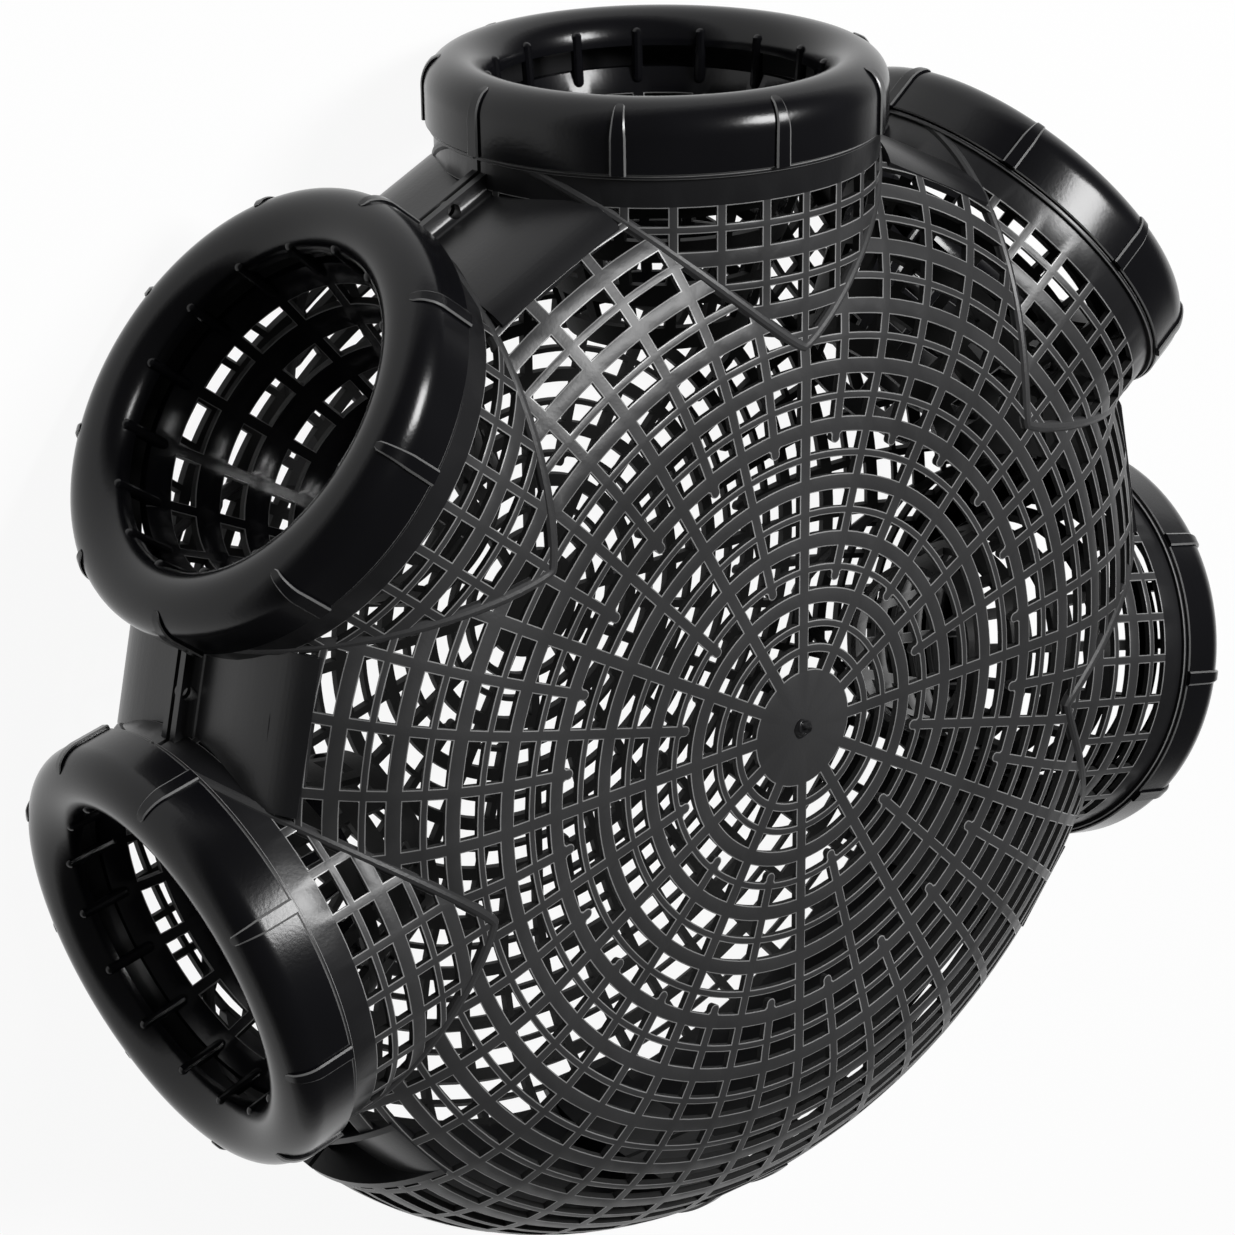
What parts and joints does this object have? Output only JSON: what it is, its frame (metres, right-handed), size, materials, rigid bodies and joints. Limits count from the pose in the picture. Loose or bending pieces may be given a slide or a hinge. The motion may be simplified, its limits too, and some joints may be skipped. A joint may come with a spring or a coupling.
{
  "type": "mesh catch trap",
  "caption": "Drum-shaped mesh cage of two moulded half shells, with round entrances round its edge; each has a rolled-lip collar with an inward funnel of bars.",
  "frame": {"origin": "centre of the footprint on the ground, below the lowest ridges of the back shell", "axes": "+Z along the pole axis of the drum, from the back shell to the front shell; +X from the pole axis to the middle entrance; +Y to its left seen from the front shell"},
  "size_m": [0.4002, 0.4238, 0.1452],
  "materials": {
    "shell_black": "satin",
    "collar_black": "satin gloss"
  },
  "bodies": {
    "cage": {"front_shell": "shell_black", "back_shell": "shell_black"},
    "collar_1": {"entrance_collar_1": "collar_black"},
    "collar_2": {"entrance_collar_2": "collar_black"},
    "collar_3": {"entrance_collar_3": "collar_black"},
    "collar_4": {"entrance_collar_4": "collar_black"},
    "collar_5": {"entrance_collar_5": "collar_black"}
  },
  "joints": [
    {"name": "collar_1_pull", "type": "slide", "parent": "cage", "child": "collar_1", "axis": [-0.2225, -0.9749, 0], "range_m": [0, 0.085]},
    {"name": "collar_2_pull", "type": "slide", "parent": "cage", "child": "collar_2", "axis": [0.6235, -0.7818, 0], "range_m": [0, 0.085]},
    {"name": "collar_3_pull", "type": "slide", "parent": "cage", "child": "collar_3", "axis": [1, 0, 0], "range_m": [0, 0.085]},
    {"name": "collar_4_pull", "type": "slide", "parent": "cage", "child": "collar_4", "axis": [0.6235, 0.7818, 0], "range_m": [0, 0.085]},
    {"name": "collar_5_pull", "type": "slide", "parent": "cage", "child": "collar_5", "axis": [-0.2225, 0.9749, 0], "range_m": [0, 0.085]}
  ]
}
